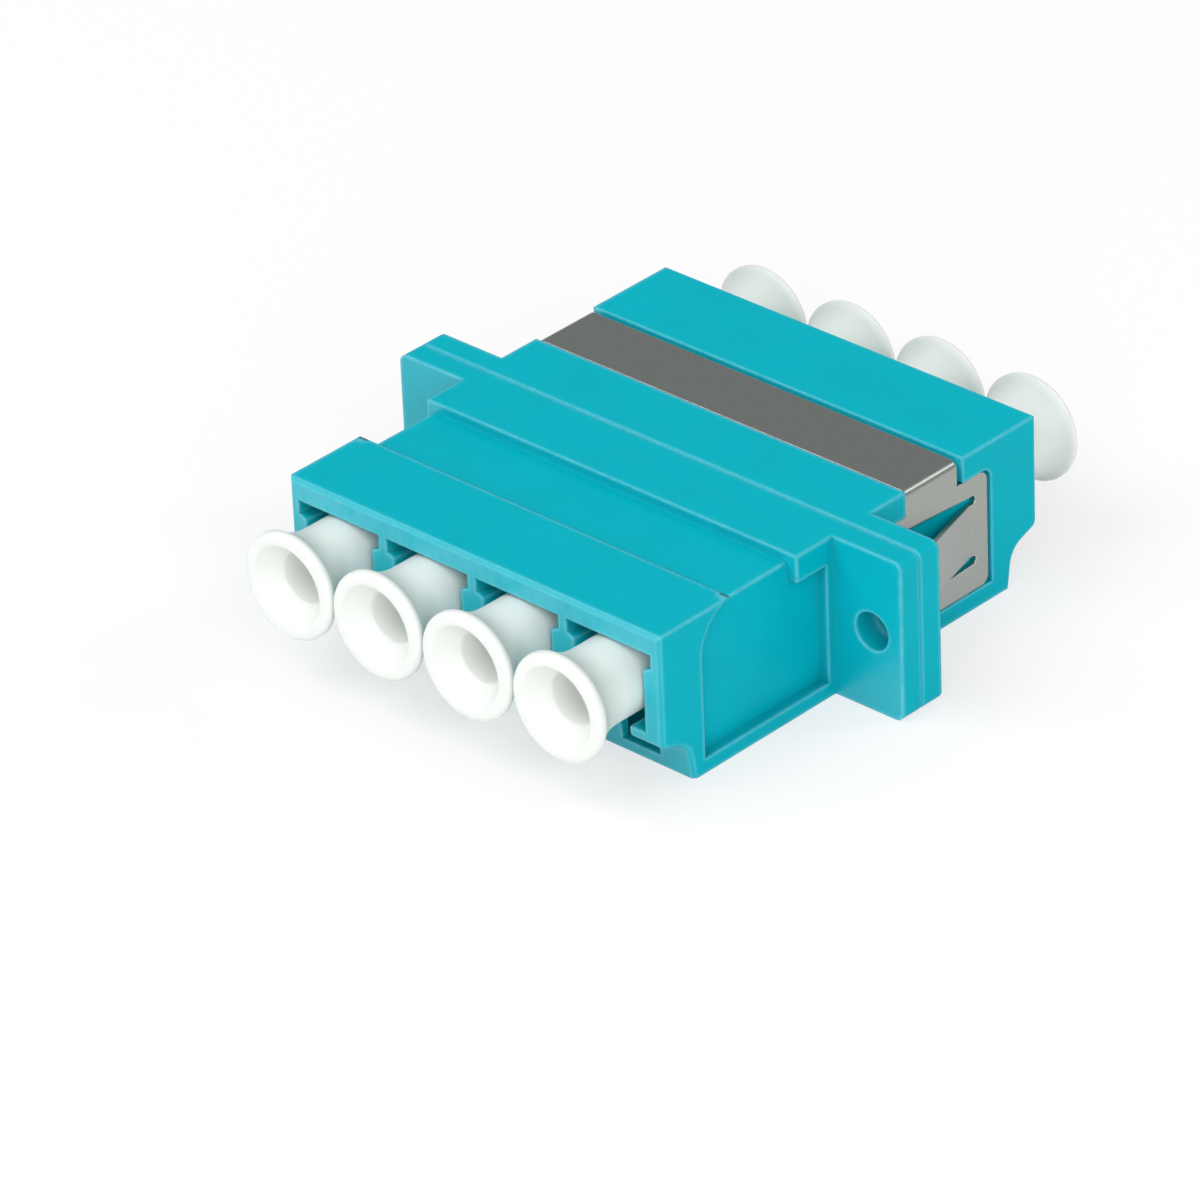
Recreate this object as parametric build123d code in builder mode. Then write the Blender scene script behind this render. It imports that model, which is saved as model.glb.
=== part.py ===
# Four-port LC fibre adapter: two welded housing halves, four split sleeves,
# a stainless panel clip and eight pull-out dust caps. Millimetres, +Z up.
# X runs across the ports, plugs enter along Y, the front ports face -Y.
from build123d import *
from math import atan2, degrees, radians, tan
import os

os.makedirs("parts", exist_ok=True)

# Port row
port_count = 4
port_pitch = 6.25
port_w = 4.7
port_h = 4.7
port_axis_z = 5.75
slot_w = 5.7
slot_h = 0.8
slot_slope = 0.25
slot_depth = 2.9
latch_w = 2.6
latch_floor = 0.65
hook_front = 2.6
hook_back = 8.0

# Housing outline
body_half_len = 14.5
body_w = 25.7
body_h = 9.3
collar_len = 3.1
neck_w = 24.4
neck_drop = 0.5
neck_front = 9.2
band_front = 4.2
band_skirt_z = 7.77
panel_bend_z = 6.6
sill_h = 0.84
rib_t = 0.48
edge_bevel = 0.2

# Scoop along the lower edge of both port faces
scoop_depth = 2.25
scoop_top_depth = 1.93
scoop_h = 2.08
scoop_lip_z = 2.76
scoop_r = 1.2
lip_r = 0.6

# Flange
flange_w = 34.8
flange_half_t = 1.49
ear_corner_r = 0.5
bolt_spacing = 30.8
bolt_r = 1.1
seam_bevel = 0.1

# Alignment sleeves and the tubes that hold them
ferrule_r = 0.625
sleeve_wall = 0.175
sleeve_len = 6.8
sleeve_slit = 0.3
sleeve_clear = 0.075
end_play = 0.1
tube_wall = 0.55
tube_len = 4.2
mouth_inner_r = 0.7
mouth_outer_r = 0.95
centre_wall = 1.2

# Locating pins on the seam
pin_r = 0.8
pin_len = 0.9
pin_clear = 0.05
pin_z = 1.7

# Panel clip
clip_t = 0.3
clip_gap = 0.04
clip_inset = 0.03
strap_y = 4.2
strap_w = 4.0
bend_r = 0.45
plate_y = 2.1
plate_len = 8.45
plate_z = 1.08
plate_h = 6.72
plate_r = 0.55
clip_seat_gap = 0.25
relief_gap = 0.45
rib_end_r = 0.6
tongue_root = 9.1
tongue_w = 3.04
tongue_len = 5.25
tongue_angle = 15.5
tongue_z = 3.16
slit_r = 0.26
slit_rise = 0.34
window_bar = 0.95

# Dust caps
cap_out = 3.95
rim_r = 3.04
rim_t = 0.45
rim_bevel = 0.2
flare_len = 2.4
stem_play = 0.16
stem_end = 2.5
dish_r = 2.42
dish_depth = 1.3
bore_r = 1.55
bore_depth = 8.0
socket_clear = 0.05
socket_end_gap = 0.5

# Derived places
port_top = port_axis_z + port_h / 2
panel_front = body_half_len - collar_len
bolt_z = body_h / 2
sleeve_r = ferrule_r + sleeve_wall
pocket_r = sleeve_r + sleeve_clear
tube_r = pocket_r + tube_wall
pocket_end = sleeve_len / 2 + end_play
mouth_len = tube_len - pocket_end
mouth_taper = degrees(atan2(mouth_outer_r - mouth_inner_r, mouth_len))
port_x = [(i - (port_count - 1) / 2) * port_pitch for i in range(port_count)]
port_spots = [(x, port_axis_z) for x in port_x]
pin_spots = [(-port_pitch, pin_z), (port_pitch, pin_z)]
bolt_spots = [(-bolt_spacing / 2, bolt_z), (bolt_spacing / 2, bolt_z)]
clip_x = body_w / 2 - clip_inset
clip_floor_x = clip_x - clip_t - clip_gap
clip_floor_z = body_h - clip_t - clip_gap
groove_y = strap_y - clip_gap
groove_w = strap_w + relief_gap
tongue_top = tongue_z + tongue_w
tongue_reach = tongue_len * tan(radians(tongue_angle))
slit_y = tongue_root + slit_r
rim_y = body_half_len + cap_out
flare_start = rim_y - rim_t - flare_len
stem_r = port_h / 2 - stem_play
socket_r = tube_r + socket_clear
socket_end = tube_len + socket_end_gap


def scoop_profile(end):
    """The scoop's outline, drawn as Y across and Z up: end is -1 at the front, 1 at the rear."""
    face = end * body_half_len
    with BuildSketch() as outline:
        with BuildLine():
            Polyline(
                (face, 0),
                (face - end * scoop_depth, 0),
                (face - end * scoop_top_depth, scoop_h),
                (face, scoop_lip_z),
                close=True,
            )
        make_face()
        fillet(outline.vertices().sort_by(Axis.Y)[-2], radius=scoop_r)
    return outline.sketch


front_scoop = scoop_profile(-1)
rear_scoop = scoop_profile(1)

# One front port as a solid to subtract, centred on x = 0
with BuildPart() as port_void:
    with BuildSketch(Plane.XZ.offset(centre_wall)):
        with Locations((0, port_axis_z)):
            Rectangle(port_w, port_h)
    extrude(amount=body_half_len - centre_wall)
    # wide slot along the top corners, only as deep as the collar allows
    with BuildSketch(Plane.XZ.offset(body_half_len - slot_depth)):
        with BuildLine():
            Polyline(
                (-slot_w / 2, port_top),
                (-slot_w / 2, port_top - slot_h),
                (-port_w / 2, port_top - slot_h - slot_slope),
                (port_w / 2, port_top - slot_h - slot_slope),
                (slot_w / 2, port_top - slot_h),
                (slot_w / 2, port_top),
                close=True,
            )
        make_face()
    extrude(amount=slot_depth)
    # latch passage between the keepers, and the hook pocket behind them
    latch_mid = (latch_floor + port_axis_z) / 2
    latch_tall = port_axis_z - latch_floor
    with BuildSketch(Plane.XZ.offset(body_half_len - hook_back)):
        with Locations((0, latch_mid)):
            Rectangle(latch_w, latch_tall)
    extrude(amount=hook_back)
    with BuildSketch(Plane.XZ.offset(body_half_len - hook_back)):
        with Locations((0, latch_mid)):
            Rectangle(port_w, latch_tall)
    extrude(amount=hook_back - hook_front)
rear_void = mirror(port_void.part, about=Plane.XZ)

# Front half of the housing
with BuildPart() as front_housing:
    with BuildSketch(Plane.XY):
        with Locations((0, -body_half_len / 2)):
            Rectangle(body_w, body_half_len)
    extrude(amount=body_h)
    # the neck is lower and narrower than the collar and the centre band
    with BuildSketch(Plane.XY.offset(body_h)):
        with Locations((0, -(neck_front + band_front) / 2)):
            Rectangle(body_w, neck_front - band_front)
    extrude(amount=-neck_drop, mode=Mode.SUBTRACT)
    with BuildSketch(Plane.YZ.offset(neck_w / 2)) as side_panel:
        with BuildLine():
            TangentArc((-panel_front, panel_bend_z), (-neck_front, body_h), tangent=(0, 1))
            Polyline(
                (-neck_front, body_h),
                (-band_front, body_h),
                (-band_front, band_skirt_z),
                (-flange_half_t - rib_t, band_skirt_z),
                (-flange_half_t - rib_t, sill_h),
                (-panel_front, sill_h),
                (-panel_front, panel_bend_z),
            )
        make_face()
    extrude(amount=body_w, mode=Mode.SUBTRACT)
    split(bisect_by=Plane.YZ)
    mirror(about=Plane.YZ)
    with BuildSketch(Plane.YZ.offset(-body_w / 2)):
        add(front_scoop)
    extrude(amount=body_w, mode=Mode.SUBTRACT)
    # flange half with rounded ears
    with BuildSketch(Plane.XZ):
        with Locations((0, body_h / 2)):
            RectangleRounded(flange_w, body_h, ear_corner_r)
    extrude(amount=flange_half_t)
    seam = front_housing.faces().sort_by(Axis.Y)[-1]
    chamfer(seam.outer_wire().edges(), length=seam_bevel)
    with BuildSketch(Plane.XZ):
        with Locations(*bolt_spots):
            Circle(bolt_r)
    extrude(amount=flange_half_t, mode=Mode.SUBTRACT)
    # rounded lip over the scoop, then the broken outer edges of the port face
    port_face = front_housing.faces().sort_by(Axis.Y)[0]
    fillet(port_face.edges().sort_by(Axis.Z)[0], radius=lip_r)
    port_face = front_housing.faces().sort_by(Axis.Y)[0]
    chamfer(port_face.edges().filter_by(Axis.Z) + port_face.edges().sort_by(Axis.Z)[-1:], length=edge_bevel)
    # ports, sleeve tubes and their bores
    with Locations(*[(x, 0, 0) for x in port_x]):
        add(port_void.part, mode=Mode.SUBTRACT)
    with BuildSketch(Plane.XZ.offset(centre_wall)):
        with Locations(*port_spots):
            Circle(tube_r)
    extrude(amount=tube_len - centre_wall)
    with BuildSketch(Plane.XZ):
        with Locations(*port_spots):
            Circle(pocket_r)
    extrude(amount=pocket_end, mode=Mode.SUBTRACT)
    # flared mouths that guide a ferrule in and keep the sleeve from coming out
    with BuildSketch(Plane.XZ.offset(tube_len)):
        with Locations(*port_spots):
            Circle(mouth_outer_r)
    extrude(amount=-mouth_len, taper=mouth_taper, mode=Mode.SUBTRACT)
    # locating pins that enter the rear half
    with BuildSketch(Plane.XZ):
        with Locations(*pin_spots):
            Circle(pin_r)
    extrude(amount=-pin_len)
front_housing.part.label = "front_housing"
export_step(front_housing.part, "parts/front_housing.step")

# Rear half: same ports, plus the seat of the panel clip
with BuildPart() as rear_housing:
    with BuildSketch(Plane.XY):
        with Locations((0, body_half_len / 2)):
            Rectangle(body_w, body_half_len)
    extrude(amount=body_h)
    with BuildSketch(Plane.YZ.offset(-body_w / 2)):
        add(rear_scoop)
    extrude(amount=body_w, mode=Mode.SUBTRACT)
    with BuildSketch(Plane.XZ):
        with Locations((0, body_h / 2)):
            RectangleRounded(flange_w, body_h, ear_corner_r)
    extrude(amount=-flange_half_t)
    seam = rear_housing.faces().sort_by(Axis.Y)[0]
    chamfer(seam.outer_wire().edges(), length=seam_bevel)
    with BuildSketch(Plane.XZ):
        with Locations(*bolt_spots):
            Circle(bolt_r)
    extrude(amount=-flange_half_t, mode=Mode.SUBTRACT)
    port_face = rear_housing.faces().sort_by(Axis.Y)[-1]
    fillet(port_face.edges().sort_by(Axis.Z)[0], radius=lip_r)
    port_face = rear_housing.faces().sort_by(Axis.Y)[-1]
    chamfer(port_face.edges().filter_by(Axis.Z) + port_face.edges().sort_by(Axis.Z)[-1:], length=edge_bevel)
    # groove across the top for the strap of the clip
    with BuildSketch(Plane.XY.offset(body_h)):
        with Locations((0, groove_y + groove_w / 2)):
            Rectangle(body_w, groove_w)
    extrude(amount=clip_floor_z - body_h, mode=Mode.SUBTRACT)
    # side recess for the plate, open to the groove above
    with BuildSketch(Plane.YZ.offset(clip_floor_x)) as clip_seat:
        with Locations((plate_y - clip_seat_gap, plate_z - clip_gap)):
            Rectangle(
                plate_len + 2 * clip_seat_gap, plate_h + 2 * clip_gap, align=(Align.MIN, Align.MIN)
            )
        with Locations((groove_y, plate_z)):
            Rectangle(groove_w, body_h - plate_z, align=(Align.MIN, Align.MIN))
        fillet(clip_seat.vertices().group_by(Axis.Y)[1].sort_by(Axis.Z)[0], radius=rib_end_r)
    extrude(amount=body_w, mode=Mode.SUBTRACT)
    split(bisect_by=Plane.YZ)
    mirror(about=Plane.YZ)
    with Locations(*[(x, 0, 0) for x in port_x]):
        add(rear_void, mode=Mode.SUBTRACT)
    with BuildSketch(Plane.XZ.offset(-centre_wall)):
        with Locations(*port_spots):
            Circle(tube_r)
    extrude(amount=-(tube_len - centre_wall))
    with BuildSketch(Plane.XZ):
        with Locations(*port_spots):
            Circle(pocket_r)
    extrude(amount=-pocket_end, mode=Mode.SUBTRACT)
    with BuildSketch(Plane.XZ.offset(-tube_len)):
        with Locations(*port_spots):
            Circle(mouth_outer_r)
    extrude(amount=mouth_len, taper=mouth_taper, mode=Mode.SUBTRACT)
    with BuildSketch(Plane.XZ):
        with Locations(*pin_spots):
            Circle(pin_r + pin_clear)
    extrude(amount=-(pin_len + 2 * pin_clear), mode=Mode.SUBTRACT)
rear_housing.part.label = "rear_housing"
export_step(rear_housing.part, "parts/rear_housing.step")

# Split alignment sleeves, one per port pair, slit towards the top
for number, x in enumerate(port_x, start=1):
    with BuildPart() as sleeve:
        with BuildSketch(Plane.XZ.offset(-sleeve_len / 2)):
            with Locations((x, port_axis_z)):
                Circle(sleeve_r)
                Circle(ferrule_r, mode=Mode.SUBTRACT)
            with Locations((x, port_axis_z + sleeve_r)):
                Rectangle(sleeve_slit, 2 * sleeve_r, mode=Mode.SUBTRACT)
        extrude(amount=sleeve_len)
    sleeve.part.label = f"alignment_sleeve_{number}"
    export_step(sleeve.part, f"parts/{sleeve.part.label}.step")

# Panel clip: a strap over the top, a plate on each side, a tongue bent out of each plate
with BuildPart() as panel_clip:
    with BuildSketch(Plane.XZ.offset(-strap_y)):
        with BuildLine():
            FilletPolyline(
                (0, body_h),
                (clip_x, body_h),
                (clip_x, plate_z + plate_h / 2),
                radius=bend_r,
            )
            Line((clip_x, plate_z + plate_h / 2), (clip_x - clip_t, plate_z + plate_h / 2))
            FilletPolyline(
                (clip_x - clip_t, plate_z + plate_h / 2),
                (clip_x - clip_t, body_h - clip_t),
                (0, body_h - clip_t),
                radius=bend_r - clip_t,
            )
            Line((0, body_h - clip_t), (0, body_h))
        make_face()
    extrude(amount=-strap_w)
    with BuildSketch(Plane.YZ.offset(clip_x)):
        with Locations((plate_y, plate_z)):
            RectangleRounded(plate_len, plate_h, plate_r, align=(Align.MIN, Align.MIN))
    extrude(amount=-clip_t)
    # window around the tongue, ended by two round slits at its root
    with BuildSketch(Plane.YZ.offset(clip_x)):
        with BuildLine():
            Polyline(
                (plate_y + window_bar, tongue_top + 2 * slit_r + slit_rise),
                (slit_y, tongue_top + 2 * slit_r),
                (slit_y, tongue_top),
                (tongue_root, tongue_top),
                (tongue_root, tongue_z),
                (slit_y, tongue_z),
                (slit_y, tongue_z - 2 * slit_r),
                (plate_y + window_bar, tongue_z - 2 * slit_r - slit_rise),
                close=True,
            )
        make_face()
        with Locations((slit_y, tongue_top + slit_r), (slit_y, tongue_z - slit_r)):
            Circle(slit_r)
    extrude(amount=-clip_t, mode=Mode.SUBTRACT)
    with BuildSketch(Plane.XY.offset(tongue_z)):
        with BuildLine():
            Polyline(
                (clip_x, tongue_root),
                (clip_x + tongue_reach, tongue_root - tongue_len),
                (clip_x + tongue_reach - clip_t, tongue_root - tongue_len),
                (clip_x - clip_t, tongue_root),
                close=True,
            )
        make_face()
    extrude(amount=tongue_w)
    mirror(about=Plane.YZ)
panel_clip.part.label = "panel_clip"
export_step(panel_clip.part, "parts/panel_clip.step")

# Dust caps: a trumpet rim outside and a stem that slips over the sleeve tube
for side, facing in (("front", -1), ("rear", 1)):
    for number, x in enumerate(port_x, start=1):
        with BuildPart() as cap:
            with BuildSketch(Plane(origin=(x, 0, port_axis_z), x_dir=(1, 0, 0), z_dir=(0, 0, facing))):
                with BuildLine():
                    Polyline(
                        (0, socket_end),
                        (socket_r, socket_end),
                        (socket_r, stem_end),
                        (stem_r, stem_end),
                        (stem_r, flare_start),
                    )
                    TangentArc((stem_r, flare_start), (rim_r, rim_y - rim_t), tangent=(0, 1))
                    Polyline(
                        (rim_r, rim_y - rim_t),
                        (rim_r, rim_y - rim_bevel),
                        (rim_r - rim_bevel, rim_y),
                        (dish_r, rim_y),
                        (bore_r, rim_y - dish_depth),
                        (bore_r, rim_y - bore_depth),
                        (0, rim_y - bore_depth),
                        (0, socket_end),
                    )
                make_face()
            revolve(axis=Axis((x, 0, port_axis_z), (0, 1, 0)))
        cap.part.label = f"dust_cap_{side}_{number}"
        export_step(cap.part, f"parts/{cap.part.label}.step")
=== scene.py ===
# %% [markdown]
# # A four-port fibre adapter, dressed for a studio picture
#
# The CAD model brings the two welded housing halves, the stainless clip, the ceramic sleeves and
# the dust caps, each at its real size. Blender adds what a drawing leaves out: soft moulded edges,
# grain in the plastic, brush lines in the steel and the milky look of the caps.
# Everything here is in metres, in the frame of the CAD, so nothing has to be fitted afterwards.

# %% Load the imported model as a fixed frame
import bmesh
import bpy
import math
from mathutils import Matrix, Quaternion, Vector


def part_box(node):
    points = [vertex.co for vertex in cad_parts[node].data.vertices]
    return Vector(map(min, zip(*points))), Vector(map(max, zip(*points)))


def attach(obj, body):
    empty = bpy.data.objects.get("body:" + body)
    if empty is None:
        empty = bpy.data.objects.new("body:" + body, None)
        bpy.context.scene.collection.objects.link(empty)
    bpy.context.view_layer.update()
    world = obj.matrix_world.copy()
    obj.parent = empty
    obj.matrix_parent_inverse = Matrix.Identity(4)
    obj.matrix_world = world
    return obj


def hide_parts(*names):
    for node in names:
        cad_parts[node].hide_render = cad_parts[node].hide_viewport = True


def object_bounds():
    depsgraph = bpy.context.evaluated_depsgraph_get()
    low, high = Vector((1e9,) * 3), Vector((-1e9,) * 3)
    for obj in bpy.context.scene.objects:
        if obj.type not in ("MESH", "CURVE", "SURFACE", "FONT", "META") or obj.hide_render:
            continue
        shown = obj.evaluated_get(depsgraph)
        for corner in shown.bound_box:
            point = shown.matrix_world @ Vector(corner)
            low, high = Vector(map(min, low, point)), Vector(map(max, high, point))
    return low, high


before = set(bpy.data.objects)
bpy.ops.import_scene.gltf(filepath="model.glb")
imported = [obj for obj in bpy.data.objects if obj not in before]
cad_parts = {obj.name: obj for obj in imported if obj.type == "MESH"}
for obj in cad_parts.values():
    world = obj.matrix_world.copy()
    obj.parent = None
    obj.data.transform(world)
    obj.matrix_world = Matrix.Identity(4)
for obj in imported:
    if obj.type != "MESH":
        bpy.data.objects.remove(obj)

cad_low, cad_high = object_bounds()
mm = 0.001
print("CAD box in mm:", [round(size / mm, 2) for size in cad_high - cad_low])

# %% [markdown]
# ## Camera
#
# The photograph looks down at the front right corner with a long lens, and it is rolled by a
# little over two degrees. The camera could be placed by eye, but it is easier to correct when it
# is set by the angles a photographer would name: how far round the object it stands, how high, how
# far off, and how much it is rolled.

# %% Camera at the photograph's angle
camera_azimuth = math.radians(43.892)
camera_elevation = math.radians(30.678)
camera_roll = math.radians(-2.422)
camera_distance = 429.06 * mm
aim = Vector((2.655, -7.953, 4.697)) * mm
# these two are in millimetres on the sensor, as Blender keeps them
focal_length = 252.5
sensor_width = 36

towards_camera = Vector(
    (
        math.sin(camera_azimuth) * math.cos(camera_elevation),
        -math.cos(camera_azimuth) * math.cos(camera_elevation),
        math.sin(camera_elevation),
    )
)
camera_data = bpy.data.cameras.new("studio_camera")
camera_data.lens = focal_length
camera_data.sensor_width = sensor_width
camera = bpy.data.objects.new("studio_camera", camera_data)
bpy.context.scene.collection.objects.link(camera)
camera.location = aim + towards_camera * camera_distance
camera.rotation_mode = "QUATERNION"
level = towards_camera.to_track_quat("Z", "Y")
camera.rotation_quaternion = level @ Quaternion((0, 0, 1), camera_roll)
bpy.context.scene.camera = camera
print("Camera stands at", [round(place / mm, 1) for place in camera.location], "mm")

# %% [markdown]
# ## Dust caps
#
# A real cap is one soft moulding: a straight stem that fills the port, a trumpet mouth to pull it
# by, a shallow dish, a blind bore, and a socket at the inner end that slips over the sleeve tube.
# The caps of the CAD have the right sizes, but their rims are cut flat, and a soft part has round
# ones. So one cap is modelled again by hand: a cylinder for the stem, its outer face extruded and
# widened ring by ring for the trumpet, then pushed back in for a small step inside the lip, the
# dish and the bore. Bevels round the rims last, when nothing will be extruded from them any more:
# the lip widely, the dish and the bore just enough to catch a line.

# %% Sizes of a cap
# the dish and the bore are 0.1 mm narrower than in the CAD, as the photograph shows them,
# and a draft is the share of its radius that a wall keeps at its inner end
cap_low, cap_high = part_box("dust_cap_front_1")
cap_axis = (cap_low + cap_high) / 2
cap_length = cap_high.y - cap_low.y
rim_radius = (cap_high.x - cap_low.x) / 2
rim_thickness = 0.45 * mm
stem_radius = 2.19 * mm
flare_length = 2.4 * mm
flare_start = cap_low.y + rim_thickness + flare_length
dish_radius = 2.32 * mm
dish_depth = 1.3 * mm
lip_step = 0.14 * mm
lip_draft = 0.97
bore_radius = 1.45 * mm
bore_depth = 8.0 * mm
bore_draft = 0.94
socket_radius = 1.475 * mm
socket_depth = 2.2 * mm
print("A cap is", round(cap_length / mm, 2), "mm long and", round(2 * rim_radius / mm, 2), "wide")

# %% Helpers that select by place, in edit mode
same_place = 0.01 * mm


def distance_from_axis(point):
    return math.hypot(point.x - cap_axis.x, point.z - cap_axis.z)


def pick_end_face(piece, y):
    """Select only the flat face that lies across the cap at y."""
    bpy.ops.mesh.select_mode(type="FACE")
    shape = bmesh.from_edit_mesh(piece.data)
    for face in shape.faces:
        across = abs(face.normal.y) > 0.99 and len(face.verts) > 4
        face.select_set(across and abs(face.calc_center_median().y - y) < same_place)
    shape.select_flush_mode()
    bmesh.update_edit_mesh(piece.data)


def pick_ring(piece, y, radius):
    """Select only the ring of edges at y with this radius."""
    bpy.ops.mesh.select_mode(type="EDGE")
    shape = bmesh.from_edit_mesh(piece.data)
    for edge in shape.edges:
        edge.select_set(
            all(
                abs(vertex.co.y - y) < same_place
                and abs(distance_from_axis(vertex.co) - radius) < same_place
                for vertex in edge.verts
            )
        )
    shape.select_flush_mode()
    bmesh.update_edit_mesh(piece.data)


def push_face(along, factor):
    """Extrude the selected face by along and scale its new ring about the cap's axis."""
    bpy.ops.mesh.extrude_region_move(TRANSFORM_OT_translate={"value": (0, along, 0)})
    bpy.ops.transform.resize(value=(factor, 1, factor), center_override=cap_axis)


# %% The stem from a cylinder
cap_sides = 72
stem_length = cap_high.y - flare_start
bpy.ops.object.select_all(action="DESELECT")
bpy.ops.mesh.primitive_cylinder_add(
    vertices=cap_sides,
    radius=stem_radius,
    depth=stem_length,
    location=(cap_axis.x, flare_start + stem_length / 2, cap_axis.z),
    rotation=(math.pi / 2, 0, 0),
)
cap = bpy.context.object
cap.name = "soft_cap_front_1"
bpy.ops.object.transform_apply()
bpy.ops.object.mode_set(mode="EDIT")
print("The stem is", round(stem_length / mm, 2), "mm long and has", cap_sides, "sides")

# %% The trumpet, ring by ring along an arc
flare_steps = 9
widening = rim_radius - stem_radius
arc_radius = (flare_length**2 + widening**2) / 2 / widening
radius = stem_radius
pick_end_face(cap, flare_start)
for step in range(1, flare_steps + 1):
    run = flare_length * step / flare_steps
    wider = stem_radius + arc_radius - math.sqrt(arc_radius**2 - run**2)
    push_face(-flare_length / flare_steps, wider / radius)
    radius = wider
push_face(-rim_thickness, 1)
print("The trumpet widens by", round(widening / mm, 2), "mm in", flare_steps, "rings")

# %% The lip, the dish and the bore, then the socket at the other end
push_face(0, dish_radius / rim_radius)
push_face(lip_step, lip_draft)
push_face(dish_depth - lip_step, bore_radius / dish_radius / lip_draft)
push_face(bore_depth - dish_depth, bore_draft)
pick_end_face(cap, cap_high.y)
push_face(0, socket_radius / stem_radius)
push_face(-socket_depth, 1)
print("The bore ends", round(bore_depth / mm, 2), "mm behind the lip")

# %% Round its rims
for y, ring_radius, rounding, segments in (
    (cap_low.y, rim_radius, 0.26 * mm, 5),
    (cap_low.y, dish_radius, 0.07 * mm, 3),
    (cap_low.y + dish_depth, bore_radius, 0.05 * mm, 3),
    (cap_high.y, stem_radius, 0.2 * mm, 3),
):
    pick_ring(cap, y, ring_radius)
    bpy.ops.mesh.bevel(offset=rounding, segments=segments, affect="EDGES")
bpy.ops.mesh.select_all(action="SELECT")
bpy.ops.mesh.normals_make_consistent(inside=False)
bpy.ops.object.mode_set(mode="OBJECT")
bpy.ops.object.shade_smooth_by_angle(angle=math.radians(40))
print("One cap has", len(cap.data.polygons), "faces")

# %% Copy it to the other seven ports
caps = {("front", 1): cap}
for side, turn in (("front", 0), ("rear", math.pi)):
    for number in range(1, 5):
        if (side, number) in caps:
            continue
        bpy.ops.object.select_all(action="DESELECT")
        cap.select_set(True)
        bpy.context.view_layer.objects.active = cap
        bpy.ops.object.duplicate(linked=False)
        copy = bpy.context.object
        low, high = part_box(f"dust_cap_{side}_{number}")
        # half a turn instead of a mirror keeps the faces pointing outwards
        copy.rotation_euler.z = turn
        copy.location.x = (low.x + high.x) / 2 - cap_axis.x * math.cos(turn)
        copy.location.y = (low.y + high.y) / 2 - cap_axis.y * math.cos(turn)
        bpy.ops.object.transform_apply()
        copy.name = f"soft_cap_{side}_{number}"
        caps[side, number] = copy
for (side, number), piece in caps.items():
    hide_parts(f"dust_cap_{side}_{number}")
    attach(piece, f"cap_{side}_{number}")
print("Modelled", len(caps), "caps from one")

# %% [markdown]
# ## Shader maths that reads like maths
#
# A procedural finish is a small sum: grain plus mottling, times a mask. Writing each sum as a row
# of node calls hides it, so a thin class wraps one output socket and lets Python's own operators
# add the Math nodes. Any other node comes from one method that takes its type, its settings and
# its inputs.

# %% One output socket, with operators that add Math nodes
class Wire:
    """An output socket of a finish, so that sums on it add Math nodes."""

    def __init__(self, finish, socket):
        self.finish = finish
        self.socket = socket

    def maths(self, operation, first, second=0.0):
        return self.finish.node("ShaderNodeMath", {"operation": operation}, {0: first, 1: second})

    def __add__(self, other):
        return self.maths("ADD", self, other)

    def __sub__(self, other):
        return self.maths("SUBTRACT", self, other)

    def __rsub__(self, other):
        return self.maths("SUBTRACT", other, self)

    def __mul__(self, other):
        return self.maths("MULTIPLY", self, other)

    def __abs__(self):
        return self.maths("ABSOLUTE", self)

    def clamped(self):
        return self.maths("MINIMUM", self.maths("MAXIMUM", self, 0.0), 1.0)

    def rise(self, start, length):
        """0 up to start, then an even climb to 1 over length."""
        return ((self - start) * (1 / length)).clamped()


# %% One material, whose nodes are added one call at a time
class Finish:
    """A material and its node tree."""

    def __init__(self, name):
        self.material = bpy.data.materials.new(name)
        self.material.use_nodes = True
        self.tree = self.material.node_tree
        self.tree.nodes.clear()
        self.output = self.tree.nodes.new("ShaderNodeOutputMaterial")

    def node(self, kind, settings=None, inputs=None, output=0):
        """Add a node and return one of its outputs, by number or by name."""
        made = self.tree.nodes.new(kind)
        for name, value in (settings or {}).items():
            setattr(made, name, value)
        for key, value in (inputs or {}).items():
            if isinstance(value, Wire):
                self.tree.links.new(value.socket, made.inputs[key])
            else:
                made.inputs[key].default_value = value
        return Wire(self, made.outputs[output])

    def place(self, scale=(1, 1, 1)):
        """Object coordinates in metres, stretched along the axes when scale says so."""
        here = self.node("ShaderNodeTexCoord", output="Object")
        return self.node("ShaderNodeMapping", {}, {"Vector": here, "Scale": scale})

    def part(self, vector, axis):
        """The X, Y or Z of a vector, as a number for maths."""
        return self.node("ShaderNodeSeparateXYZ", {}, {"Vector": vector}, output=axis)

    def noise(self, where, size, detail=3.0, roughness=0.5):
        """Soft noise from 0 to 1 with lumps about size metres across."""
        sockets = {"Vector": where, "Scale": 1 / size, "Detail": detail, "Roughness": roughness}
        return self.node("ShaderNodeTexNoise", {}, sockets)

    def mix(self, factor, first, second):
        """Colour mix: first where factor is 0, second where it is 1."""
        sockets = {0: factor, 6: first, 7: second}
        return self.node("ShaderNodeMix", {"data_type": "RGBA"}, sockets, output=2)

    def bump(self, strength, depth, height, normal=None):
        """A normal that leans as if the surface stood depth metres higher where height is 1."""
        sockets = {"Strength": strength, "Distance": depth, "Height": height}
        if normal:
            sockets["Normal"] = normal
        return self.node("ShaderNodeBump", {}, sockets)

    def surface(self, inputs):
        """Finish the material with a Principled shader that has these inputs."""
        return self.show(self.node("ShaderNodeBsdfPrincipled", {}, inputs))

    def show(self, shader):
        self.tree.links.new(shader.socket, self.output.inputs["Surface"])
        print("Material", self.material.name, "has", len(self.tree.nodes), "nodes")
        return self.material


# %% Colours as the screen shows them
def rgb(red, green, blue):
    """A screen colour from 0 to 255 as the linear colour that a shader socket holds."""
    linear = []
    for level in (red / 255, green / 255, blue / 255):
        linear.append(level / 12.92 if level < 0.04045 else ((level + 0.055) / 1.055) ** 2.4)
    return (*linear, 1.0)


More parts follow.
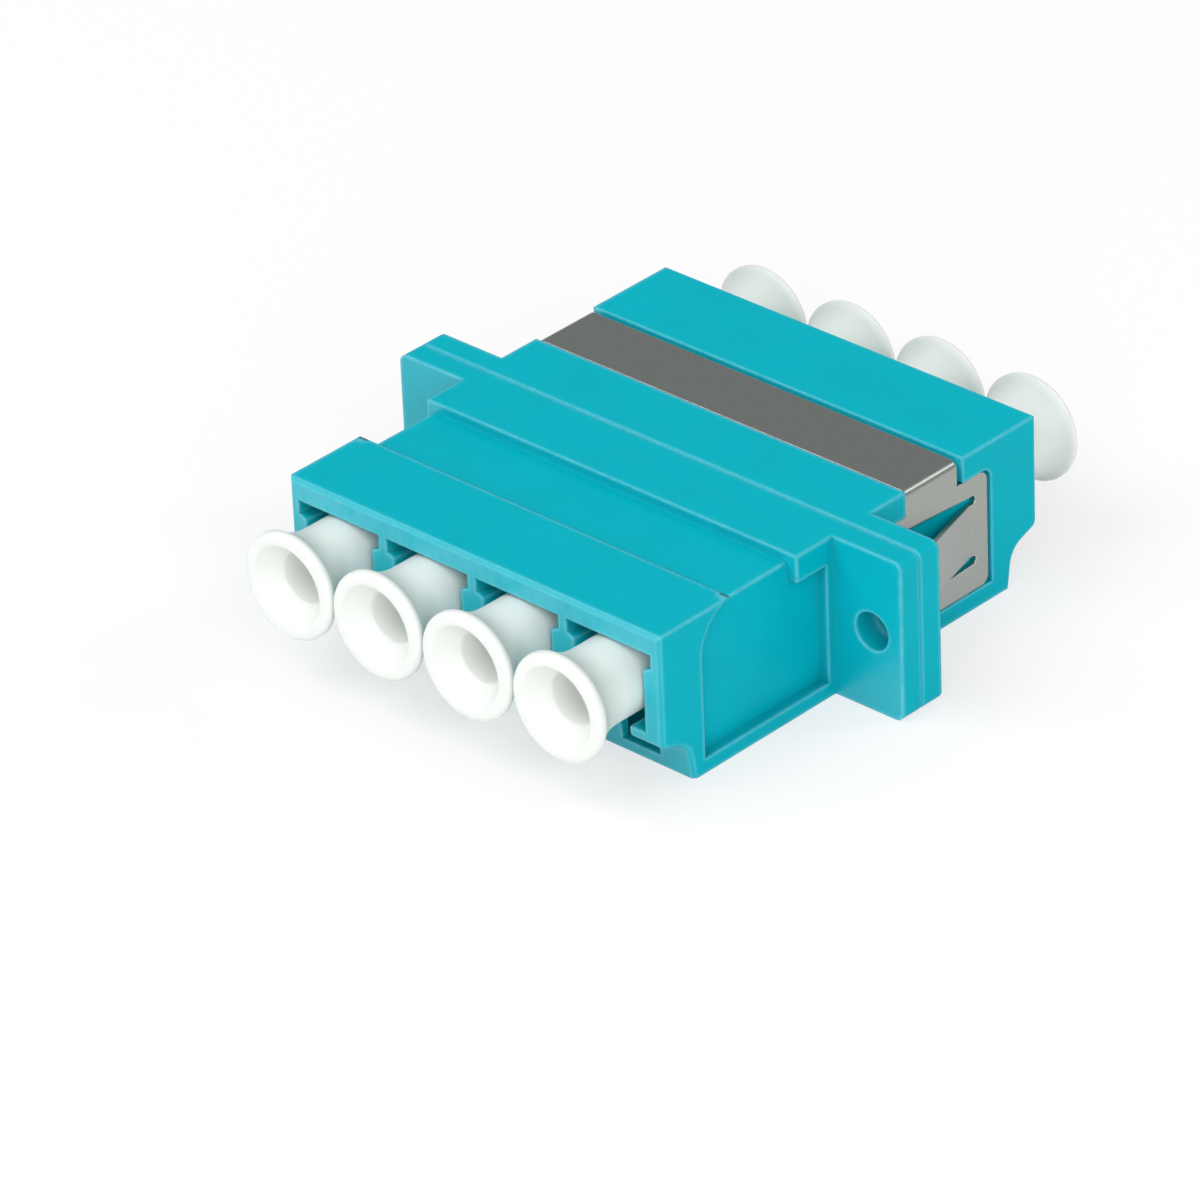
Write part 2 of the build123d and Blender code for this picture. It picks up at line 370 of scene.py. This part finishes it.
print("A screen grey of 128 is", round(rgb(128, 128, 128)[0], 3), "in linear light")

# %% [markdown]
# ## Aqua plastic
#
# The housing is moulded in aqua plastic. Up close it isn't one colour: the pigment is slightly
# cloudy, the skin has a very fine grain, and every outer edge is rounded and rubbed. Real bevels
# would have to be made again after each change of the CAD, so a Bevel node rounds the edges in the
# shading alone. A wider one is compared with the flat normal, and where they differ the edge is
# painted paler, partly as wear and partly as a painted highlight of the rounding. Inner corners get
# none of it, and deep slots get painted shade, a darker colour: an Ambient Occlusion node, which
# knows how open the air above a point is, gives both. In the photograph the faces that look along
# the ports also mirror more light, and the strip above the ports is paler. A polished mould and the
# thumbs that pull the caps might be why, but the picture doesn't say. Those faces alone get a clear
# coat, and the strip is mixed with the pale colour as a painted reflection.

# %% Edges and recesses that plastic and steel share
edge_samples = 8


def open_air(finish, reach):
    """1 where no part of the piece stands within reach of the surface, less in a corner or slot."""
    settings = {"samples": edge_samples, "only_local": True}
    return finish.node("ShaderNodeAmbientOcclusion", settings, {"Distance": reach}, output="AO")


def rounded_edge(finish, radius):
    """The normal as it would be if every edge were rounded by radius."""
    return finish.node("ShaderNodeBevel", {"samples": edge_samples}, {"Radius": radius})


def worn_and_highlit_edge(finish, reach):
    """A mask for wear and a painted highlight: 1 on an outer edge, fading to 0 at reach from it,
    and 0 in a corner.
    """
    flat = finish.node("ShaderNodeNewGeometry", output="True Normal")
    sockets = {0: rounded_edge(finish, reach), 1: flat}
    settings = {"operation": "DOT_PRODUCT"}
    agreement = finish.node("ShaderNodeVectorMath", settings, sockets, output="Value")
    outward = open_air(finish, 2 * reach).rise(0.62, 0.25)
    # full wear and painted highlight are reached where the rounding turns the surface by 31 degrees
    return ((1.0 - agreement) * 7.0).clamped() * outward


# %% The painted reflection at the top of each port face
port_face_y = -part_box("front_housing")[0].y


def painted_reflection_strip(finish, where, end_face):
    """A mask for the painted reflection on the port faces: 0 up to the middle of their height and 1
    at their top.
    """
    at_port_face = abs(finish.part(where, "Y")).rise(port_face_y - 0.4 * mm, 0.25 * mm)
    at_top = finish.part(where, "Z").rise(5.5 * mm, 2.5 * mm)
    return at_port_face * at_top * end_face


print("The port faces stand", round(port_face_y / mm, 2), "mm from the middle")


# %% Aqua plastic of the two housing halves
def aqua_plastic():
    finish = Finish("aqua_plastic")
    deep = rgb(0, 172, 188)
    bright = rgb(0, 186, 202)
    # this pale colour paints worn edges, the highlight on them and the reflection on the port faces
    pale_wear_and_sheen = rgb(104, 208, 226)
    # painted shade colour for deep slots and corners
    painted_shade_colour = rgb(0, 84, 94)
    where = finish.place()
    clouds = finish.noise(where, 3.2 * mm, detail=4)
    speckle = finish.noise(where, 0.11 * mm, detail=2)
    # patchy noise for the worn, highlit edges and for the painted reflection
    scuffs_and_sheen = finish.noise(where, 0.9 * mm, detail=5, roughness=0.7).rise(0.3, 0.4)
    along_ports = finish.part(finish.node("ShaderNodeTexCoord", output="Normal"), "Y")
    end_face = along_ports * along_ports
    edge = worn_and_highlit_edge(finish, 0.4 * mm)
    # painted shade where little open air lies above the surface
    painted_recess_shade = (1.0 - open_air(finish, 2.5 * mm)).rise(0.3, 0.5)
    # painted reflection at the top of the port faces
    strip = painted_reflection_strip(finish, where, end_face)

    colour = finish.mix((clouds * 0.8 + speckle * 0.5 - 0.15).clamped(), deep, bright)
    # paler edges: partly wear, partly a painted highlight
    colour = finish.mix(edge * (scuffs_and_sheen * 0.5 + 0.5), colour, pale_wear_and_sheen)
    # painted shade in slots and corners
    colour = finish.mix(painted_recess_shade * 0.4, colour, painted_shade_colour)
    # painted reflection on the strip above the ports
    colour = finish.mix(strip * (scuffs_and_sheen * 0.3 + 0.12), colour, pale_wear_and_sheen)

    grain = finish.noise(where, 0.05 * mm, detail=3)
    waves = finish.noise(where, 1.3 * mm, detail=2)
    relief = grain * 0.35 + waves * 0.65
    return finish.surface(
        {
            "Base Color": colour,
            "Roughness": (clouds * 0.12 + speckle * 0.1 + 0.3).clamped(),
            "Specular IOR Level": 0.05,
            "Coat Weight": end_face * 0.7,
            "Coat IOR": 1.6,
            "Coat Roughness": 0.3,
            "Normal": finish.bump(0.35, 0.02 * mm, relief, rounded_edge(finish, 0.2 * mm)),
        }
    )


aqua = aqua_plastic()

# %% [markdown]
# ## Brushed stainless steel
#
# Such a clip is usually blanked from rolled strip, so fine brush lines run along it. Noise that is
# stretched twenty times in one direction makes the lines, which needs no picture and has no seams.
# They change the roughness and the relief a little, and leave the colour nearly alone. The blanked
# edges are barely rounded, and painted bright: partly bare rubbed metal, partly a painted
# highlight.


# %% Steel of the panel clip
def brushed_steel():
    finish = Finish("brushed_steel")
    edge_radius = 0.12 * mm
    dark = rgb(146, 150, 145)
    light = rgb(182, 186, 181)
    # colour for the edges: bare metal and a painted highlight
    bare_and_highlit = rgb(235, 235, 232)
    along_strip = finish.place(scale=(0.05, 1, 1))
    lines = finish.noise(along_strip, 0.06 * mm, detail=4, roughness=0.7)
    speckle = finish.noise(finish.place(), 0.09 * mm, detail=3)
    colour = finish.mix((lines * 0.6 + speckle * 0.6 - 0.1).clamped(), dark, light)
    relief = lines * 0.7 + speckle * 0.3
    return finish.surface(
        {
            # brighter edges: partly bare metal, partly a painted highlight
            "Base Color": finish.mix(worn_and_highlit_edge(finish, edge_radius) * 0.5, colour, bare_and_highlit),
            "Metallic": 1.0,
            "Roughness": (lines * 0.16 + 0.28).clamped(),
            "Normal": finish.bump(0.3, 0.006 * mm, relief, rounded_edge(finish, edge_radius)),
        }
    )


steel = brushed_steel()

# %% [markdown]
# ## Milky cap plastic and sleeve ceramic
#
# The dust caps look like soft natural polyethylene, white with faint green-grey clouds, and light
# passes a little way into it. Subsurface scattering gives that at little cost. The rear caps of the
# photograph are greyer than the lamps alone make them here. That is shade, so the sides that look
# back at the housing get painted shade, a greyer colour, mixed in with a mask. Light may pass
# through the thin trumpet there, or the real lamps may differ. The finish is made greyer on the
# sides that look back at the housing, to match by eye.
# The split sleeves aren't in the photograph. They are taken to be white
# zirconia, the usual kind, dense and polished, and show only when a cap is pulled out.


# %% Soft white plastic of the dust caps
def milky_plastic():
    finish = Finish("milky_plastic")
    warm = rgb(245, 247, 243)
    cool = rgb(236, 242, 237)
    # painted shade colour for the sides that look back at the housing
    grey = rgb(202, 210, 205)
    where = finish.place()
    clouds = finish.noise(where, 2.4 * mm, detail=3)
    speckle = finish.noise(where, 0.12 * mm, detail=2)
    facing = finish.node("ShaderNodeTexCoord", output="Normal")
    # this product is negative on the sides that look back at the housing
    outwards = finish.part(facing, "Y") * finish.part(where, "Y")
    # painted shade on the sides that look back at the housing
    painted_shade_on_flare_back = (0.0 - outwards).rise(0.0, 12.5 * mm)

    colour = finish.mix((clouds * 0.9 + speckle * 0.3 - 0.1).clamped(), cool, warm)
    # painted shade: greyer where the cap looks back at the housing
    colour = finish.mix(painted_shade_on_flare_back * 0.9, colour, grey)
    relief = clouds * 0.4 + speckle * 0.6
    return finish.surface(
        {
            "Base Color": colour,
            "Roughness": (speckle * 0.12 + 0.38).clamped(),
            "Specular IOR Level": 0.4,
            "Subsurface Weight": 0.4,
            "Subsurface Radius": (1.0, 0.95, 0.9),
            "Subsurface Scale": 0.5 * mm,
            "Normal": finish.bump(0.25, 0.015 * mm, relief),
        }
    )


milky = milky_plastic()


# %% Polished zirconia of the sleeves
def zirconia():
    finish = Finish("zirconia")
    ivory = rgb(232, 230, 222)
    white = rgb(245, 244, 238)
    where = finish.place()
    clouds = finish.noise(where, 0.6 * mm, detail=3)
    grain = finish.noise(where, 0.03 * mm, detail=2)
    return finish.surface(
        {
            "Base Color": finish.mix(clouds, ivory, white),
            "Roughness": (clouds * 0.1 + 0.12).clamped(),
            "Coat Weight": 0.3,
            "Normal": finish.bump(0.15, 0.004 * mm, grain),
        }
    )


ceramic = zirconia()


# %% Give every piece its finish
def dress(piece, material):
    piece.data.materials.clear()
    piece.data.materials.append(material)


finishes = {
    "front_housing": aqua,
    "rear_housing": aqua,
    "panel_clip": steel,
    "dust_cap": milky,
    "alignment_sleeve": ceramic,
}
for name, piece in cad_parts.items():
    family = next(key for key in finishes if name.startswith(key))
    dress(piece, finishes[family])
for piece in caps.values():
    dress(piece, milky)
print("Dressed", len(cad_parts), "CAD pieces and", len(caps), "modelled caps")

# %% [markdown]
# ## Floor and light
#
# The object lies on a white sweep. The floor is an ordinary matt white that catches the shadow,
# and for the camera and in mirrors it is lifted to paper white, as a retoucher would do: a brighter
# lamp would wash out the object as well. One large lamp stands high in front on the left and
# another lower on the right, so that top, front and side are nearly as bright. A small one behind
# draws the bright line along the fold of the clip, and the world is a plain grey that the steel
# strap mirrors.


# %% White sweep
def sweep_finish():
    finish = Finish("white_sweep")
    lift = 0.56
    paper = finish.node("ShaderNodeBsdfDiffuse", {}, {"Color": (0.88, 0.86, 0.855, 1)})
    glow = finish.node("ShaderNodeEmission", {}, {"Color": (1, 1, 1, 1), "Strength": 1.13})
    seen = finish.node("ShaderNodeLightPath", output="Is Camera Ray")
    mirrored = finish.node("ShaderNodeLightPath", output="Is Glossy Ray")
    lifted = (seen + mirrored).clamped() * lift
    return finish.show(finish.node("ShaderNodeMixShader", {}, {0: lifted, 1: paper, 2: glow}))


bpy.ops.object.select_all(action="DESELECT")
bpy.ops.mesh.primitive_plane_add(size=3.0, location=(0, 0, cad_low.z))
floor = bpy.context.object
floor.name = "white_sweep"
dress(floor, sweep_finish())


# %% Lamps
def soft_lamp(name, place, size, power):
    """A square area lamp that faces the middle of the object."""
    data = bpy.data.lights.new(name, "AREA")
    data.size = size
    data.energy = power
    lamp = bpy.data.objects.new(name, data)
    bpy.context.scene.collection.objects.link(lamp)
    lamp.location = place
    lamp.rotation_euler = Vector(place).to_track_quat("Z", "Y").to_euler()
    print(name, "stands", round(Vector(place).length, 2), "m away and has", power, "W")


soft_lamp("key_lamp", place=(-0.45, -0.7, 1.15), size=1.0, power=9.5)
soft_lamp("fill_lamp", place=(0.9, -0.85, 0.65), size=1.3, power=11.5)
soft_lamp("fold_lamp", place=(0.71, 0.87, 0.84), size=0.3, power=2.2)

# %% World and view
world = bpy.data.worlds.new("studio_world")
world.use_nodes = True
background = world.node_tree.nodes["Background"]
background.inputs["Color"].default_value = (0.55, 0.56, 0.57, 1)
background.inputs["Strength"].default_value = 0.65
bpy.context.scene.world = world
bpy.context.scene.view_settings.view_transform = "Standard"
print("The world's grey has strength", round(background.inputs["Strength"].default_value, 2))
